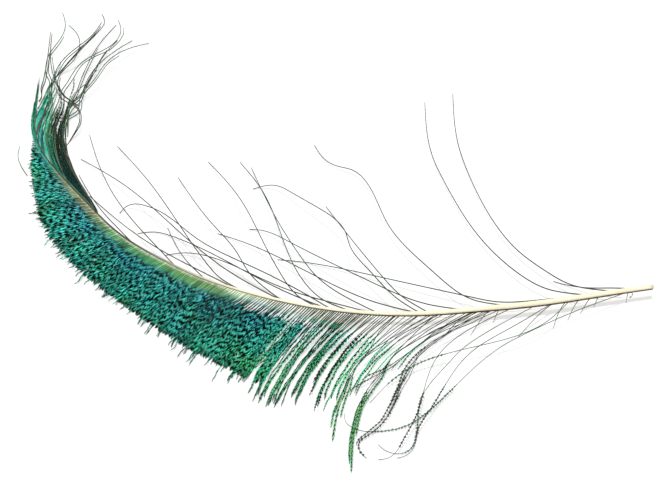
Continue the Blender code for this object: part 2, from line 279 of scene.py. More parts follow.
def smooth_route(points, count):
    """count points along the natural cubic spline through the given ones, evenly spaced."""
    points = np.array(points, float)
    knots = lengths_along(points)
    gaps = np.diff(knots)
    size = len(points)
    matrix = np.eye(size)
    right = np.zeros_like(points)
    for i in range(1, size - 1):
        matrix[i, i - 1 : i + 2] = gaps[i - 1], 2 * (gaps[i - 1] + gaps[i]), gaps[i]
        right[i] = 6 * ((points[i + 1] - points[i]) / gaps[i] - (points[i] - points[i - 1]) / gaps[i - 1])
    bend = np.linalg.solve(matrix, right)
    where = np.linspace(0, knots[-1], 12 * size)
    i = np.clip(np.searchsorted(knots, where, side="right") - 1, 0, size - 2)
    h = gaps[i][:, None]
    a = (knots[i + 1] - where)[:, None] / h
    b = 1 - a
    fine = a * points[i] + b * points[i + 1] + ((a**3 - a) * bend[i] + (b**3 - b) * bend[i + 1]) * h**2 / 6
    along = lengths_along(fine)
    even = np.linspace(0, along[-1], count)
    return np.stack([np.interp(even, along, fine[:, axis]) for axis in range(points.shape[1])], axis=1)


class Line:
    """A route in space, with the directions along it, across it and up from it."""

    def __init__(self, points):
        self.points = np.array(points, float)
        self.distance = lengths_along(self.points)
        self.length = self.distance[-1]
        self.ahead = unit(np.gradient(self.points, axis=0))

    def at(self, distance):
        """(point, ahead, side, up) at each distance, with side to the left and up as near +Z as can be."""
        def read(values):
            return np.stack([np.interp(distance, self.distance, values[:, k]) for k in range(3)], axis=-1)

        ahead = unit(read(self.ahead))
        side = unit(np.cross((0, 0, 1), ahead))
        return read(self.points), ahead, side, np.cross(ahead, side)


def ring_centres(node, reach, first):
    """The centres and radii of the rings that a swept CAD node was made of, in order from one end.

    reach is wider than a ring and narrower than the step to the next, and first picks the end to start at.
    """
    points = np.array([v.co for v in frame["nodes"][node].data.vertices]) / MM
    points = np.unique(points.round(3), axis=0)
    centres, radii = [], []
    while len(points):
        near = np.linalg.norm(points - points[0], axis=1) < reach
        ring = points[near]
        centres.append(ring.mean(axis=0))
        radii.append(np.linalg.norm(ring - ring.mean(axis=0), axis=1).mean())
        points = points[~near]
    centres, radii = np.array(centres), np.array(radii)
    order = [int(np.argmax(first(centres, radii)))]
    while len(order) < len(centres):
        away = np.linalg.norm(centres - centres[order[-1]], axis=1)
        away[order] = np.inf
        order.append(int(np.argmin(away)))
    return centres[order], radii[order]


class Fibres:
    """Gathers closed tubes and barbules, with the facts that their material reads, into one mesh."""

    def __init__(self):
        self.points, self.facts, self.faces, self.smooth = [], [], [], []
        self.count = 0

    def add(self, points, faces, facts, smooth):
        """faces is a list of arrays of corner numbers, one row a face. facts has a row a point."""
        self.points.append(points)
        self.facts.append(np.broadcast_to(facts, (len(points), len(FACTS))))
        self.faces.extend(part + self.count for part in faces)
        self.smooth.extend([smooth] * len(faces))
        self.count += len(points)

    def tube(self, line, where, radius, sides, facts):
        """A tube along a line, closed at both ends."""
        point, _, side, up = line.at(where)
        turn = 2 * np.pi * (np.arange(sides) + 0.5) / sides
        across = np.cos(turn)[None, :, None] * side[:, None] - np.sin(turn)[None, :, None] * up[:, None]
        rings = point[:, None] + across * radius[:, None, None]
        rows = np.arange(len(where) - 1)[:, None] * sides
        column = np.arange(sides)[None, :]
        after = (column + 1) % sides
        walls = np.stack([rows + column, rows + after, rows + after + sides, rows + column + sides], axis=-1)
        start = np.arange(sides)[::-1][None, :]
        end = (np.arange(sides) + (len(where) - 1) * sides)[None, :]
        facts = np.repeat(facts, sides, axis=0)
        self.add(rings.reshape(-1, 3), [walls.reshape(-1, 4), start, end], facts, True)

    def barbules(self, line, where, hand, roll, lean, length, width, facts):
        """Flat spikes that leave one side of a line, each leaning forward by its own angle from the line.

        hand is 1 for the left side and -1 for the right. roll turns the row about the line, in radians.
        """
        point, ahead, side, up = line.at(where)
        out = hand * (np.cos(roll)[:, None] * side + np.sin(roll)[:, None] * up)
        reach = np.cos(lean)[:, None] * ahead + np.sin(lean)[:, None] * out
        tip = point + reach * length[:, None]
        tip[:, 2] = np.maximum(tip[:, 2], FLOOR_CLEARANCE)
        half = ahead * width[:, None] / 2
        ridge = point + np.cross(ahead, out) * hand * width[:, None] * BARBULE_RIDGE
        corners = np.stack([point - half, point + half, ridge, tip], axis=1)
        volume = np.einsum("ij,ij->i", 2 * half, np.cross(ridge - point, tip - point))
        inside_out = volume < 0
        corners[inside_out, 0], corners[inside_out, 1] = corners[inside_out, 1], corners[inside_out, 0].copy()
        first = np.arange(len(where))[:, None] * 4
        sheets = [first + np.array(face) for face in ((0, 2, 1), (0, 1, 3), (1, 2, 3), (2, 0, 3))]
        self.add(corners.reshape(-1, 3), sheets, np.repeat(facts, 4, axis=0), False)

    def build(self, name, material, slot, nodes):
        """One mesh object that holds it all, rides with the feather and stands for the CAD nodes."""
        points = np.concatenate(self.points)
        points[:, 2] = np.maximum(points[:, 2], FLOOR_CLEARANCE / 2)
        mesh = bpy.data.meshes.new(name)
        mesh.vertices.add(len(points))
        mesh.vertices.foreach_set("co", (points * MM).astype(np.float32).ravel())
        corners = np.concatenate([part.ravel() for part in self.faces])
        sizes = np.concatenate([np.full(len(part), part.shape[1]) for part in self.faces])
        smooth = np.concatenate([np.full(len(part), flag) for part, flag in zip(self.faces, self.smooth)])
        mesh.loops.add(len(corners))
        mesh.loops.foreach_set("vertex_index", corners.astype(np.int32))
        mesh.polygons.add(len(sizes))
        mesh.polygons.foreach_set("loop_start", (np.cumsum(sizes) - sizes).astype(np.int32))
        mesh.polygons.foreach_set("use_smooth", smooth)
        mesh.update(calc_edges=True)
        facts = np.concatenate(self.facts)
        for column, fact in enumerate(FACTS):
            layer = mesh.attributes.new(fact, "FLOAT", "POINT")
            layer.data.foreach_set("value", facts[:, column].astype(np.float32))
        mesh.materials.append(material)
        piece = bpy.data.objects.new(name, mesh)
        bpy.context.scene.collection.objects.link(piece)
        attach(piece, "root")
        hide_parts(*nodes)
        print(f"{name}: {int((sizes - 2).sum())} triangles")


def fact_rows(count, **values):
    """A row of facts for each of count points, from a number or a list for each fact. The rest are 0."""
    return np.column_stack([np.broadcast_to(values.get(fact, 0.0), count) for fact in FACTS]).astype(float)


def wander(where, scale, rng):
    """A smooth random value near -1 to 1 that changes over about scale."""
    total = np.zeros_like(np.asarray(where, float))
    for octave in (1.0, 1.9, 3.1):
        total += np.sin(2 * np.pi * where * octave / scale + rng.uniform(0, 2 * np.pi)) / octave
    return total / 1.6


# ---- Materials ----


class Recipe:
    """A material's node tree, with one short call for each kind of node."""

    def __init__(self, name):
        self.material = bpy.data.materials.new(name)
        self.material.use_nodes = True
        self.tree = self.material.node_tree
        self.shader = self.tree.nodes["Principled BSDF"]

    def feed(self, socket, value):
        if isinstance(value, bpy.types.NodeSocket):
            self.tree.links.new(value, socket)
        else:
            socket.default_value = value

    def fact(self, name):
        node = self.tree.nodes.new("ShaderNodeAttribute")
        node.attribute_name = name
        return node.outputs["Fac"]

    def maths(self, operation, a, b=0.0, c=0.0):
        node = self.tree.nodes.new("ShaderNodeMath")
        node.operation = operation
        for socket, value in zip(node.inputs, (a, b, c)):
            self.feed(socket, value)
        return node.outputs[0]

    def between(self, value, low, high, out_low=0.0, out_high=1.0):
        """value moved from one range to another, smoothly and held at the ends."""
        node = self.tree.nodes.new("ShaderNodeMapRange")
        node.interpolation_type = "SMOOTHSTEP"
        for socket, given in zip(node.inputs, (value, low, high, out_low, out_high)):
            self.feed(socket, given)
        return node.outputs[0]

    def ramp(self, factor, stops):
        node = self.tree.nodes.new("ShaderNodeValToRGB")
        elements = node.color_ramp.elements
        elements[0].position, elements[0].color = stops[0][0], (*stops[0][1], 1)
        elements[1].position, elements[1].color = stops[-1][0], (*stops[-1][1], 1)
        for position, colour in stops[1:-1]:
            elements.new(position).color = (*colour, 1)
        self.feed(node.inputs[0], factor)
        return node.outputs[0]

    def mix(self, factor, a, b):
        node = self.tree.nodes.new("ShaderNodeMix")
        node.data_type = "RGBA"
        for socket, value in ((node.inputs[0], factor), (node.inputs[6], a), (node.inputs[7], b)):
            self.feed(socket, (*value, 1) if isinstance(value, tuple) else value)
        return node.outputs[2]

    def scale(self, colour, factor):
        node = self.tree.nodes.new("ShaderNodeVectorMath")
        node.operation = "SCALE"
        self.feed(node.inputs[0], colour)
        self.feed(node.inputs["Scale"], factor)
        return node.outputs[0]

    def noise(self, scale, detail=2.0, vector=None):
        node = self.tree.nodes.new("ShaderNodeTexNoise")
        node.inputs["Scale"].default_value = scale
        node.inputs["Detail"].default_value = detail
        if vector is None:
            vector = self.tree.nodes.new("ShaderNodeTexCoord").outputs["Object"]
        self.feed(node.inputs["Vector"], vector)
        return node.outputs[0]

    def set(self, **values):
        for name, value in values.items():
            self.feed(self.shader.inputs[name.replace("_", " ")], value)


def keratin():
    """The shaft: cream, brown along the vane's side and dark towards the tip, with fine streaks along it."""
    recipe = Recipe("keratin")
    join = recipe.tree.nodes.new("ShaderNodeCombineXYZ")
    recipe.feed(join.inputs[0], recipe.maths("MULTIPLY", recipe.fact("station"), 0.03))
    recipe.feed(join.inputs[1], recipe.maths("MULTIPLY", recipe.fact("share"), 9.0))
    streaks = recipe.noise(3.0, 4.0, join.outputs[0])
    cream = recipe.ramp(streaks, [(0.3, (0.64, 0.56, 0.39)), (0.6, (0.80, 0.73, 0.56))])
    # Brown where the shaft faces the dense vane, broken by the streaks.
    brown_side = recipe.maths("ADD", recipe.fact("zone"), recipe.maths("MULTIPLY", streaks, 0.3))
    brown = recipe.ramp(streaks, [(0.3, (0.05, 0.034, 0.02)), (0.7, (0.13, 0.09, 0.055))])
    colour = recipe.mix(recipe.between(brown_side, 0.55, 0.75), cream, brown)
    colour = recipe.mix(recipe.between(recipe.fact("station"), 232, 338), colour, (0.03, 0.042, 0.018))
    bump = recipe.tree.nodes.new("ShaderNodeBump")
    bump.inputs["Distance"].default_value = 0.0002
    bump.inputs["Strength"].default_value = 0.25
    recipe.feed(bump.inputs["Height"], streaks)
    recipe.set(Base_Color=colour, Roughness=recipe.between(streaks, 0.2, 0.8, 0.28, 0.5), Normal=bump.outputs[0])
    recipe.set(Subsurface_Weight=0.15, Subsurface_Scale=0.001, Specular_IOR_Level=0.2)
    return recipe.material


def iridescent():
    """The vane's barbs: pale or green at the smooth base, teal with blue patches beyond it, and dark tips, all
    with painted highlights and shade.
    """
    recipe = Recipe("iridescent_barbs")
    station = recipe.maths("DIVIDE", recipe.fact("station"), 440.0)
    share, zone, luck, spark = (recipe.fact(name) for name in ("share", "zone", "luck", "spark"))
    base = recipe.ramp(station, [
        (0.22, (0.05, 0.055, 0.022)),
        (0.44, (0.038, 0.058, 0.014)),
        (0.52, (0.06, 0.10, 0.022)),
        (0.58, (0.20, 0.38, 0.14)),
        (0.70, (0.12, 0.40, 0.13)),
        (0.765, (0.14, 0.34, 0.12)),
        (0.81, (0.28, 0.25, 0.11)),
        (0.86, (0.22, 0.24, 0.10)),
        (0.90, (0.045, 0.25, 0.115)),
    ])
    bare_end = recipe.mix(recipe.between(share, 0.06, 0.22), base, (0.05, 0.066, 0.019))
    base = recipe.mix(recipe.between(share, 0.0, 0.07, 0.55, 0.0), base, (0.36, 0.40, 0.20))
    base = recipe.mix(recipe.between(station, 0.5, 0.56), bare_end, base)
    patches = recipe.noise(55.0, 3.0)
    hue = recipe.ramp(station, [
        (0.25, (0.0,) * 3), (0.42, (0.2,) * 3), (0.52, (0.52,) * 3), (0.62, (0.62,) * 3), (0.95, (0.52,) * 3),
    ])
    hue = recipe.maths("ADD", hue, recipe.maths("MULTIPLY_ADD", patches, 0.8, -0.4))
    hue = recipe.maths("ADD", hue, recipe.maths("MULTIPLY_ADD", luck, 0.3, -0.15))
    hue = recipe.maths("ADD", hue, recipe.between(share, 0.15, 0.9, 0.16, -0.2))
    body = recipe.ramp(hue, [
        (0.05, (0.05, 0.42, 0.12)),
        (0.30, (0.02, 0.50, 0.25)),
        (0.55, (0.015, 0.50, 0.42)),
        (0.75, (0.01, 0.36, 0.48)),
        (0.95, (0.02, 0.16, 0.46)),
    ])
    # Painted highlight and shade: the body is brightened and darkened along each barb as its barbules twist.
    body = recipe.scale(body, recipe.between(spark, 0.3, 0.7, 0.01, 1.75))
    # Painted highlight: a light, bright colour where the barbules would catch the light.
    painted_glint = recipe.ramp(hue, [(0.1, (0.14, 0.98, 0.5)), (0.45, (0.15, 1.0, 0.84)), (0.8, (0.15, 0.98, 1.0))])
    body = recipe.mix(recipe.between(spark, 0.54, 0.88, 0.0, 0.9), body, painted_glint)
    body = recipe.scale(body, recipe.between(station, 0.50, 0.66, 1.2, 1.06))
    body = recipe.mix(recipe.between(share, 0.78, 1.0, 0.0, 0.7), body, (0.004, 0.016, 0.01))
    # The smooth base is also painted lighter and darker as highlight and shade, and darker on lower barbs as
    # painted shade.
    striped = recipe.scale(base, recipe.between(spark, 0.0, 1.0, 0.2, 1.35))
    striped = recipe.scale(striped, recipe.between(luck, 0.0, 1.0, 0.55, 1.35))
    colour = recipe.mix(zone, striped, body)
    # Mixed in below: black for barbs that are black, and painted shade on the lower layer; it too is brightened
    # by the painted highlight.
    black = recipe.scale(recipe.ramp(patches, [(0.4, (0.03, 0.02, 0.012)), (0.6, (0.01, 0.03, 0.015))]), spark)
    colour = recipe.mix(recipe.fact("gloom"), colour, black)
    recipe.set(Base_Color=colour, Roughness=recipe.between(spark, 0.0, 1.0, 0.5, 0.32))
    recipe.set(Metallic=recipe.maths("MULTIPLY", zone, 0.35), Specular_IOR_Level=0.04)
    return recipe.material


def dusky():
    """The loose barbs: brown at the root, dark olive with green along them that is painted lighter and darker as
    highlight and shade, and paler tips.
    """
    recipe = Recipe("dusky_barbs")
    share, zone, spark = (recipe.fact(name) for name in ("share", "zone", "spark"))
    dark = recipe.ramp(share, [
        (0.0, (0.075, 0.06, 0.042)),
        (0.2, (0.026, 0.03, 0.018)),
        (0.75, (0.015, 0.02, 0.013)),
        (1.0, (0.05, 0.05, 0.045)),
    ])
    green = recipe.ramp(recipe.noise(120.0), [(0.35, (0.05, 0.26, 0.13)), (0.65, (0.10, 0.32, 0.10))])
    # Painted highlight and shade: the green is brightened and darkened in beads along each barb.
    green = recipe.scale(green, recipe.between(spark, 0.3, 0.75, 0.04, 1.9))
    recipe.set(Base_Color=recipe.mix(zone, dark, green), Roughness=0.42)
    recipe.set(Metallic=recipe.maths("MULTIPLY", zone, 0.3), Specular_IOR_Level=0.2)
    return recipe.material


# ---- Pieces ----


class Shaft(Line):
    """The shaft's line, with its radius and its two sides. side faces the dense vane, as -Y does."""

    def __init__(self):
        centres, radii = ring_centres("shaft", 5.0, lambda centre, radius: centre[:, 0])
        radii[0] = radii[1]
        route = smooth_route(np.column_stack([centres, radii]), SHAFT_RINGS)
        super().__init__(route[:, :3])
        slimmer = QUILL_SLIMMING * ease((QUILL_SLIM_LENGTH - self.distance) / QUILL_SLIM_LENGTH)
        self.radii = route[:, 3] * (1 - slimmer)

    def radius(self, station):
        return np.interp(station, self.distance, self.radii)

    def root(self, station, hand):
        """Where a barb leaves the shaft, and the way across. hand is 1 for the dense side, -1 for the other."""
        point, _, side, _ = self.at(station)
        return point + side * hand * (self.radius(station) + VANE_ROOT_GAP), side


def make_shaft(shaft):
    """The shaft's rings, with two more inside its cut end for the hollow."""
    fibres = Fibres()
    where = shaft.distance
    point, ahead, side, up = shaft.at(where)
    turn = 2 * np.pi * np.arange(SHAFT_SIDES) / SHAFT_SIDES
    groove_depth, groove_width = SHAFT_GROOVE
    groove = 1 - groove_depth * np.exp(-(((turn - 1.5 * np.pi) / groove_width) ** 2))
    power = SHAFT_SQUARENESS
    shape = groove * (np.abs(np.cos(turn)) ** power + np.abs(np.sin(turn)) ** power) ** (-1 / power)
    across = (np.cos(turn) * shape)[None, :, None] * side[:, None]
    across = across + (np.sin(turn) * shape)[None, :, None] * up[:, None]
    rings = point[:, None] + across * shaft.radii[:, None, None]
    rings[0] -= np.outer(np.sin(turn), ahead[0]) * QUILL_SLANT
    inner = [rings[0] + (point[0] - rings[0]) * (1 - QUILL_HOLLOW)]
    inner.append(inner[0] + ahead[0] * QUILL_DEPTH)
    rings = np.concatenate([inner[::-1], rings])
    # Brown on the shaft's side towards the dense vane, fading out over the top.
    brown_side = ease((np.cos(turn) + 0.15) / 0.6) * ease((0.75 - np.sin(turn)) / 0.5)
    stations = np.concatenate([[QUILL_DEPTH, 0], where])
    facts = np.concatenate([
        fact_rows(SHAFT_SIDES, station=s, share=np.abs(turn / np.pi - 1), zone=brown_side, luck=0.5, spark=0.5)
        for s in stations
    ])
    rows = np.arange(len(rings) - 1)[:, None] * SHAFT_SIDES
    column = np.arange(SHAFT_SIDES)[None, :]
    after = (column + 1) % SHAFT_SIDES
    walls = np.stack(
        [rows + column, rows + column + SHAFT_SIDES, rows + after + SHAFT_SIDES, rows + after], axis=-1
    )
    start = np.arange(SHAFT_SIDES)[None, :]
    end = start[:, ::-1] + (len(rings) - 1) * SHAFT_SIDES
    fibres.add(rings.reshape(-1, 3), [walls.reshape(-1, 4), start, end], facts, True)
    fibres.build("rachis", keratin(), "shaft", ["shaft"])


def barb_plan(root, length, root_heading, tip_heading, steps, late=1.0):
    """Points of a barb that turns from one heading to the other: evenly, or later than that."""
    fine = ((np.arange(steps) + 0.5) / steps) ** late
    heading = np.radians(root_heading + (tip_heading - root_heading) * fine)
    moves = np.column_stack([np.cos(heading), np.sin(heading)]) * length / steps
    return np.vstack([root, root + np.cumsum(moves, axis=0)])


def outer_route(shaft, station, length_factor, turn):
    """The plan of an outer barb, by the vane's rule."""
    table = np.array(OUTER_VANE)
    length, root_heading, tip_heading = (np.interp(station, table[:, 0], table[:, k]) for k in (1, 2, 3))
    root, _ = shaft.root(station, 1)
    late = look_up(LATE_TURN, station)
    return barb_plan(root[:2], length * length_factor, root_heading + turn * 0.4, tip_heading + turn, 40, late)


def grow(fibres, line, rng, style, station, bare=0.0, smooth=0.0, full=None, green=None, luck=0.5, gloom=0.0):
    """A barb: its ramus, and two rows of barbules from bare to full, flat up to smooth and twisting after that.

    green is what the material reads as zone, where it isn't the zone beyond the smooth base.
    """
    full = line.length if full is None else full

    def zone_at(where):
        return ease((where - smooth + ZONE_LEAD) / ZONE_FADE) if green is None else np.full(len(where), green)

    steps = max(6, int(line.length / RAMUS_STEP))
    where = np.linspace(0, line.length, steps)
    share = where / line.length
    same = dict(station=station, luck=luck)
    zone = zone_at(where)
    facts = fact_rows(
        steps,
        share=share,
        zone=zone * 0.6,
        spark=0.9 - 0.75 * zone,
        gloom=gloom * (0.5 + 0.5 * zone),
        **same,
    )
    thick, thin = style["ramus"]
    fibres.tube(line, where, thick + (thin - thick) * share, 4, facts)
    period = rng.uniform(*style["period"])
    start = rng.uniform(0, 2 * np.pi)
    drift = rng.integers(1 << 30)
    for hand in (1, -1):
        where = np.arange(bare + rng.uniform(0, style["gap"]), full - 0.3, style["gap"])
        if not len(where):
            continue
        uneven = style["jitter"] * rng.normal(0, 1, (4, len(where)))
        where = where + uneven[0] * style["gap"]
        share = where / line.length
        free = ease((where - smooth) / FREE_FADE)
        phase = 2 * np.pi * where / period + start + 1.2 * wander(where, 14.0, np.random.default_rng(drift))
        wave = np.sin(phase + hand * 0.6)
        roll = free * (style["twist"] * wave + uneven[1])
        lean = np.radians(style["lean"][0] + (style["lean"][1] - style["lean"][0]) * free + 40 * uneven[2])
        taper = np.clip((full - where) / 5.0, 0.12, 1) ** 0.7 * np.clip((where - bare + 0.5) / 6.0, 0.2, 1)
        bead = 1 - style["beads"] * (0.5 - 0.5 * np.sin(phase))
        reach = style["length"] * taper * bead * (1 + 1.5 * uneven[3]) * (0.8 + 0.2 * free)
        # A painted highlight and shade: bright where a row of barbules turns to catch the light and dark where it
        # turns away, with some random tone.
        spark = 0.44 + 0.48 * wave * free + 0.8 * uneven[1] + 0.4 * (luck - 0.5)
        zone = zone_at(where)
        facts = fact_rows(
            len(where),
            share=share,
            zone=zone,
            spark=np.clip(spark, 0, 1),
            gloom=gloom * (0.5 + 0.5 * zone),
            **same,
        )
        fibres.barbules(line, where, hand, roll, lean, reach, np.full(len(where), style["width"]), facts)


def beside(line, offset, rng, end):
    """A line that runs beside another at about an offset, from the same root, for a share of its length."""
    where = np.linspace(0, line.length * end, max(12, int(line.length / 2)))
    point, _, side, _ = line.at(where)
    away = offset * ease(where / line.length / 0.4) + 0.3 * abs(offset) * wander(where, 45.0, rng)
    return Line(point + side * away[:, None])


def vane_line(shaft, station, plan, depth, rng):
    """The plan of an outer barb raised to its height: from the shaft down to its own layer on the surface."""
    share = np.linspace(0, 1, len(plan))
    along = lengths_along(plan)
    ahead = unit(np.gradient(plan, axis=0))
    across = np.column_stack([-ahead[:, 1], ahead[:, 0]])
    calm = 1 - 0.65 * ease((240 - station) / 60)
    plan = plan + across * (calm * 0.6 * ease(share / 0.5) * wander(along, rng.uniform(14, 22), rng))[:, None]
    root_height = shaft.at(station)[0][2]
    slope = np.clip(1 - share / VANE_FLAT_FROM, 0, 1) ** 1.2
    height = root_height * slope + (1 - slope) * (0.2 + 1.5 * depth)
    height = height + 0.3 * ease(share / 0.4) * wander(along, 16.0, rng)
    height[0] = root_height
    return Line(np.column_stack([plan, np.maximum(height, 0.15)]))


def make_outer_vane(shaft, material):
    """The dense outer barbs in clumps and bundles, the looser ones nearer the quill, and the layer below."""
    rng = np.random.default_rng(SEED)
    stations = [VANE_PIECES[0]]
    while stations[-1] < VANE_PIECES[-1] - 1.5:
        stations.append(stations[-1] + look_up(BARB_GAP, stations[-1]) * rng.uniform(0.8, 1.2))
    stations = np.array(stations)
    clump_edges = [VANE_PIECES[0] - 1]
    while clump_edges[-1] < VANE_PIECES[-1]:
        lengths = BUNDLE if BUNDLE_STARTS[0] < clump_edges[-1] < BUNDLE_STARTS[1] else CLUMP
        clump_edges.append(clump_edges[-1] + rng.uniform(*lengths))
    clump_edges = np.array(clump_edges)
    clumps = np.searchsorted(clump_edges, stations)
    clump_centres = (clump_edges[clumps - 1] + clump_edges[clumps]) / 2
    turns = 5 * wander(stations, 60.0, rng) + 3 * wander(stations, 13.0, rng)
    all_fibres = [Fibres() for _ in VANE_PIECES[1:]]
    for number, station in enumerate(stations):
        rng = np.random.default_rng([SEED, number])
        clump_rng = np.random.default_rng([SEED, 1000 + clumps[number]])
        bundled = ease((station - BUNDLED_FROM[0]) / BUNDLED_FROM[1])
        bundled = bundled * ease((BUNDLED_TO[0] - station) / BUNDLED_TO[1])
        turn = turns[number] + rng.normal(0, BARB_TURN[0] + BARB_TURN[1] * bundled)
        plan = outer_route(shaft, station, rng.normal(1.0, 0.07), turn)
        centre = outer_route(shaft, clump_centres[number], clump_rng.normal(1.0, 0.1), clump_rng.normal(0, 7))
        sparse = ease((SPARSE_VANE[0] - station) / SPARSE_VANE[1])
        pull = clump_rng.uniform(*CLUMP_PULL) * ease((station - 120) / 60) + BUNDLE_PULL * bundled
        pull = pull * ease((np.linspace(0, 1, len(plan)) - 0.25) / 0.75)
        plan = plan + (centre - plan) * pull[:, None]
        fibres = all_fibres[np.searchsorted(VANE_PIECES[1:-1], station)]
        depth = rng.uniform(0, 1)
        bare = look_up(BARE_BASE, station) * rng.uniform(0.85, 1.15)
        smooth = max(look_up(SMOOTH_BASE, station) * rng.uniform(0.82, 1.18), bare)
        # Lower barbs get a lower value, which the material paints darker: painted shade from the barbs above; the
        # rest is random tone.
        luck = 0.6 * depth + rng.uniform(0, 0.4)
        black = [amount for low, high, amount in BLACK_BARBS if low < station < high]
        gloom = max([0.5 * clump_rng.uniform(0, 1) ** 3, *black])
        loose_style = FINE if station < 150 else SPARSE if gloom > 0.8 else LEAFY
        dense_style = BARE_DENSE if station < DENSE_FROM else DENSE
        style = loose_style if rng.uniform(0, 1) < sparse + BUNDLE_LOOSE_SHARE * bundled else dense_style
        line = vane_line(shaft, station, plan, depth, rng)
        first_barbule = bare * (BARE_DENSE_START if style is BARE_DENSE else 1.0)
        grow(fibres, line, rng, style, station, first_barbule, smooth, luck=luck, gloom=gloom)
        under_share = UNDER_SHARE + ease((station - UNDER_LAYER[0]) / UNDER_FADE)
        if UNDER_LAYER[0] < station < UNDER_LAYER[1] and rng.uniform(0, 1) < under_share:
            plan = outer_route(shaft, station + UNDER_SHIFT, UNDER_LENGTH, turns[number] * 0.5)
            line = vane_line(shaft, station, plan, -0.05, rng)
            start = (bare + UNDER_START) * ease((DENSE_FROM - station) / UNDER_START_FADE)
            line = Line(line.points[line.distance >= start])
            # The lower layer is painted dark, as painted shade under the barbs above it.
            grow(fibres, line, rng, UNDER, station, 0.0, max(smooth - start, 0), gloom=0.6)
    add_side_bundle(shaft, all_fibres[-1])
    add_short_hairs(shaft, all_fibres[0])
    for number, fibres in enumerate(all_fibres, 1):
        fibres.build(f"outer_barbs_{number}", material, "vane", ["outer_vane"])


def add_side_bundle(shaft, fibres):
    """The last outer barbs, which lie along the shaft and run past its tip."""
    first, last = SIDE_BUNDLE
    for number, station in enumerate(np.arange(first, last, SIDE_BUNDLE_GAP)):
        rng = np.random.default_rng([SEED, 7000 + number])
        end = station + rng.uniform(*SIDE_BUNDLE_LENGTH)
        run = np.linspace(station, min(end, SIDE_BUNDLE_END - rng.uniform(0, SIDE_BUNDLE_RAGGED)), 30)
        fraction = ((run - station) / (run - first + 2)) ** TIP_VANE_FAN
        point, ahead, side, _ = shaft.at(np.minimum(run, shaft.length))
        offset = shaft.radius(run) + VANE_ROOT_GAP + look_up(SIDE_BUNDLE_WIDTH, run) * fraction
        route = point + side * offset[:, None] + ahead * np.maximum(run - shaft.length, 0)[:, None]
        route[:, 2] = route[:, 2] + rng.uniform(-0.4, 0.6) * ease((run - station) / 12)
        luck = rng.uniform(0, 1)
        gloom = 0.9 * (rng.uniform(0, 1) < TIP_DARK_SHARE)
        grow(fibres, Line(route), rng, TIP, SIDE_BUNDLE_COLOUR, 0.3, 0.0, green=0.35, luck=luck, gloom=gloom)


def add_short_hairs(shaft, fibres):
    """The stray hairs at the bare end of the shaft, each bending down to the surface."""
    for number, (station, hand, length, root_heading, tip_heading) in enumerate(SHORT_HAIRS):
        rng = np.random.default_rng([SEED, 8000 + number])
        root, side = shaft.root(station, hand)
        plan = barb_plan((root - side * hand * 0.4)[:2], length, root_heading, tip_heading, 12)
        height = root[2] + (0.4 - root[2]) * ease(np.linspace(0, 1.2, len(plan)))
        line = Line(np.column_stack([plan, height]))
        grow(fibres, line, rng, SHORT_HAIR, SHORT_HAIR_COLOUR, 1.0, length, luck=0.3, gloom=0.5)


def tip_route(shaft, station, run):
    """The streamline of an inner barb near the tip, at each station of run: along the shaft and fanning out."""
    point, ahead, side, _ = shaft.at(np.minimum(run, shaft.length))
    past = np.maximum(run - shaft.length, 0)
    fraction = ((run - station) / (run - TIP_VANE_ROOTS[0] + 2)) ** TIP_VANE_FAN
    offset = shaft.radius(run) + VANE_ROOT_GAP + look_up(TIP_VANE_WIDTH, run) * fraction
    return point - side * offset[:, None] + ahead * past[:, None]


def make_tip_vane(shaft, material):
    """The inner barbs of the tip: they run almost along the shaft and fan out a little."""
    fibres = Fibres()
    first, last = TIP_VANE_ROOTS
    close = np.arange(first, first + TIP_CLOSE_LENGTH, TIP_VANE_GAP * TIP_CLOSE_GAP)
    for number, station in enumerate([*close, *np.arange(close[-1], last, TIP_VANE_GAP)]):
        rng = np.random.default_rng([SEED, 5000 + number])
        streak_rng = np.random.default_rng([SEED, 6000 + int(station / TIP_STREAK)])
        outward = 1 - (station - first) / (last - first)
        loose = ease((outward - 0.5) / 0.15)
        end = max(look_up(TIP_VANE_END, outward) + rng.normal(0, 7 + 7 * loose), station + 12)
        run = np.linspace(station, end, 30)
        plan = tip_route(shaft, station, run)
        share = np.linspace(0, 1, len(run))
        side = shaft.at(np.minimum(run, shaft.length))[2]
        sway = 0.6 * ease(share / 0.5) * wander(lengths_along(plan), 20.0, streak_rng)
        plan = plan - side * sway[:, None]
        height = streak_rng.uniform(0.3, 1.4) + rng.uniform(-0.12, 0.12)
        plan[:, 2] = plan[:, 2] * (1 - ease(share / 0.8)) + height * ease(share / 0.8)
        gloom = 0.95 * loose + 0.85 * (1 - loose) * (streak_rng.uniform(0, 1) < TIP_DARK_SHARE)
        style = TIP_LOOSE if loose > 0.5 else TIP
        luck = np.clip(streak_rng.uniform(0, 1) + rng.normal(0, 0.1), 0, 1)
        green = None if loose > 0.5 else 0.2 + 0.35 * streak_rng.uniform(0, 1)
        grow(fibres, Line(plan), rng, style, TIP_COLOUR, 0.3, 0.0, green=green, luck=luck, gloom=gloom)
    fibres.build("tip_barbs", material, "vane", ["tip_vane"])


def make_loose_barbs(shaft, material):
    """A finer barb along each loose barb's CAD node, carried on from the node's end to where it grows from."""
    for group, about in LOOSE_BARBS.items():
        for number in range(1, about["count"] + 1):
            node = group if about["count"] == 1 else f"{group}_{number:02d}"
            centres, _ = ring_centres(node, 2.5, lambda centre, radius: radius)
            if group == "tuft_strand":
                root = tuft_root(shaft, centres[0])
                onward = unit(centres[0] - centres[1])
                if np.dot(onward, unit(centres[0] - root[-1])) > -0.5:
                    root = centres[0] + onward * TUFT_ROOT
                centres = np.concatenate([np.atleast_2d(root), centres])
            elif group != "stray_barb":
                centres = np.concatenate([barb_root(shaft, centres), centres])
            if group == "vane_strand":
                make_strand(shaft, node, centres, about, material)
            else:
                make_loose_barb(node, centres, about, material)


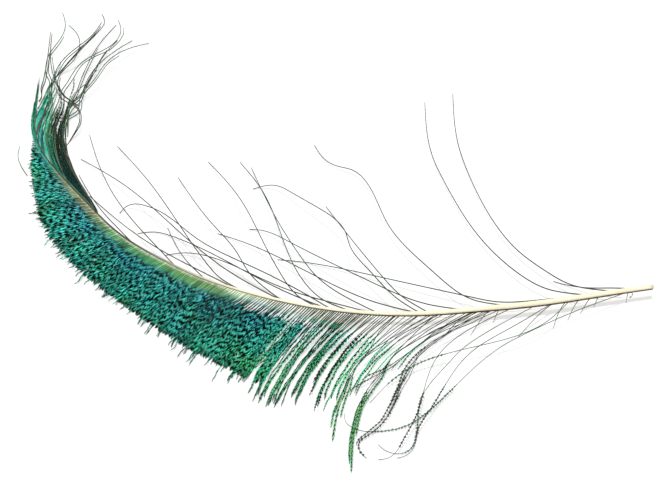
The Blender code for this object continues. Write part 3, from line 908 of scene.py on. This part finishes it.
def barb_root(shaft, centres):
    """Where a loose barb meets the shaft's side, found by carrying its CAD solid's line back from its start."""
    back = unit(centres[0] - centres[1])
    ways = centres[0] + back * np.arange(0.5, 14, 0.5)[:, None]
    away = np.linalg.norm(ways[:, None, :2] - shaft.points[None, :, :2], axis=2)
    nearest = away.argmin(axis=1)
    clear = away.min(axis=1) - 0.8 * shaft.radii[nearest]
    met = int(np.argmax(clear < 0)) if (clear < 0).any() else int(clear.argmin())
    root = ways[met]
    root[2] = shaft.points[nearest[met], 2]
    return root[None]


def tuft_root(shaft, start):
    """The streamline that leads from the shaft to where a tuft strand's CAD solid starts."""
    tip = shaft.points[-1]
    beyond = max(start[1] - tip[1], 0)
    beside = np.argmin(np.abs(shaft.points[:, 1] - start[1]) + (shaft.points[:, 0] > -0.1 / MM) * 1e3)
    run = shaft.distance[beside] + beyond
    outward = np.clip((start[0] - shaft.points[beside, 0]) / look_up(TIP_VANE_WIDTH, run), 0.03, 0.97)
    station = run - outward ** (1 / TIP_VANE_FAN) * (run - TIP_VANE_ROOTS[0] + 2)
    route = tip_route(shaft, station, np.linspace(station, run - 5, 6))
    share = np.linspace(0, 0.9, 6)
    route[:, 2] = route[:, 2] * (1 - ease(share)) + start[2] * ease(share)
    return route


def strand_root(shaft, start, shift):
    """The outer barb's route that comes nearest to where a vane strand's CAD solid starts, as far as there.

    shift moves the route's root along the shaft.
    """
    best = None
    for station in np.arange(90, 200, 2.0):
        plan = outer_route(shaft, station, 1.0, 0.0)
        away = np.linalg.norm(plan - start[:2], axis=1)
        if best is None or away.min() < best[0]:
            best = (away.min(), station, int(away.argmin()))
    _, station, nearest = best
    plan = outer_route(shaft, station + shift, 1.0, 0.0)[: max(nearest - 4, 2)]
    plan = plan + (start[:2] - plan[-1]) * (ease(np.linspace(0, 1, len(plan))) * 0.8)[:, None]
    share = np.linspace(0, 0.9, len(plan))
    height = shaft.at(station + shift)[0][2] * (1 - ease(share)) + start[2] * ease(share)
    return np.column_stack([plan, height])[::4]


def make_strand(shaft, node, centres, about, material):
    """A bundle of barbs that leave the shaft apart and run together along a vane strand's CAD solid."""
    fibres = Fibres()
    rng = np.random.default_rng([SEED, *node.encode()])
    if node in LEAFY_STRANDS:
        style, count, green = STRAND, LEAFY_STRAND_BARBS, 1.0
    else:
        style, count, green = about["style"], 1 + about["others"], about["green"][0]
    for number in range(count):
        shift = 0.0 if number == 0 else rng.uniform(*STRAND_ROOTS) * (-1) ** number
        route = np.concatenate([strand_root(shaft, centres[0], shift), centres[1 if number else 0 :]])
        line = Line(smooth_route(route, max(24, int(lengths_along(route)[-1] / 1.5))))
        own = lengths_along(centres[1:])[-1]
        if number:
            offset = rng.uniform(0.4, 1) * about["spread"] * (-1) ** number
            line = beside(line, offset, rng, rng.uniform(0.75, 0.97))
        bare = max(line.length - own * rng.uniform(*STRAND_FULL), 4)
        grow(fibres, line, rng, style, 0, bare, bare, line.length, green, luck=rng.uniform(0.2, 1))
    fibres.build(f"{node}_fine", material, "vane", [node])


def make_loose_barb(node, centres, about, material):
    """One barb along a CAD solid's line, and for some kinds a finer one beside it."""
    fibres = Fibres()
    rng = np.random.default_rng([SEED, *node.encode()])
    line = Line(smooth_route(centres, max(24, int(lengths_along(centres)[-1] / 1.5))))
    bare, full = line.length * about["bare"], line.length * about["full"]
    green = about["green"][int(rng.uniform(0, 1) < 0.4)]
    grow(fibres, line, rng, about["style"], 0, bare, bare, full, green)
    for _ in range(about["others"]):
        offset = rng.uniform(0.4, 1) * rng.choice([-1, 1]) * about["spread"]
        other = beside(line, offset, rng, rng.uniform(0.55, 0.97))
        full = min(full, other.length)
        grow(fibres, other, rng, about["style"], 0, bare, bare, full, green, luck=rng.uniform(0.2, 1))
    fibres.build(f"{node}_fine", material, "barb", [node])


# ---- Stage ----


def make_floor():
    """A pale glossy floor under the feather."""
    recipe = Recipe("pale_gloss")
    recipe.set(Base_Color=(0.12, 0.12, 0.12, 1), Roughness=0.6)
    recipe.set(Emission_Color=(1, 1, 1, 1), Emission_Strength=0.92)
    recipe.set(Coat_Weight=1.0, Coat_Roughness=0.04, Coat_IOR=3.4)
    half = FLOOR_SIZE / 2
    mesh = bpy.data.meshes.new("floor")
    height = -FLOOR_DROP * MM
    mesh.from_pydata([(-half, -half, height), (half, -half, height), (half, half, height), (-half, half, height)],
                     [], [(0, 1, 2, 3)])
    mesh.materials.append(recipe.material)
    floor = bpy.data.objects.new("floor", mesh)
    bpy.context.scene.collection.objects.link(floor)


def make_light(name, place, size, power):
    """A round soft light that faces the feather."""
    light = bpy.data.lights.new(name, "AREA")
    light.shape = "DISK"
    light.size = size
    light.energy = power
    lamp = bpy.data.objects.new(name, light)
    lamp.location = place
    lamp.rotation_mode = "QUATERNION"
    lamp.rotation_quaternion = (-lamp.location).to_track_quat("-Z", "Y")
    bpy.context.scene.collection.objects.link(lamp)


def make_world():
    """A soft white dome, brightest overhead and dimmer towards the horizon."""
    world = bpy.data.worlds.new("studio")
    world.use_nodes = True
    nodes, links = world.node_tree.nodes, world.node_tree.links
    split = nodes.new("ShaderNodeSeparateXYZ")
    links.new(nodes.new("ShaderNodeTexCoord").outputs["Generated"], split.inputs[0])
    grade = nodes.new("ShaderNodeMapRange")
    grade.interpolation_type = "SMOOTHSTEP"
    for socket, value in zip(grade.inputs[1:5], (DOME_LOW[0], DOME_HIGH[0], DOME_LOW[1], DOME_HIGH[1])):
        socket.default_value = value
    links.new(split.outputs[2], grade.inputs[0])
    links.new(grade.outputs[0], nodes["Background"].inputs["Strength"])
    nodes["Background"].inputs["Color"].default_value = (1, 1, 1, 1)
    return world


def make_stage():
    """The floor, the world, the lights and the camera."""
    scene = bpy.context.scene
    make_floor()
    scene.world = make_world()
    for name, about in LIGHTS.items():
        make_light(name, **about)
    scene.view_settings.view_transform = "Standard"
    camera = bpy.data.cameras.new("camera")
    camera.lens = LENS
    camera.sensor_width = SENSOR
    eye = bpy.data.objects.new("camera", camera)
    distance = LENS / SENSOR * VIEW_WIDTH
    tilt = np.radians(VIEW_ELEVATION)
    x, y, z = VIEW_CENTRE
    eye.location = (x, y - np.cos(tilt) * distance, z + np.sin(tilt) * distance)
    eye.rotation_euler = (np.pi / 2 - tilt, 0, 0)
    scene.collection.objects.link(eye)
    scene.camera = eye


for startup in list(bpy.data.objects):
    bpy.data.objects.remove(startup)
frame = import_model()

rachis = Shaft()
make_shaft(rachis)
vane_material = iridescent()
make_outer_vane(rachis, vane_material)
make_tip_vane(rachis, vane_material)
make_loose_barbs(rachis, dusky())
make_stage()
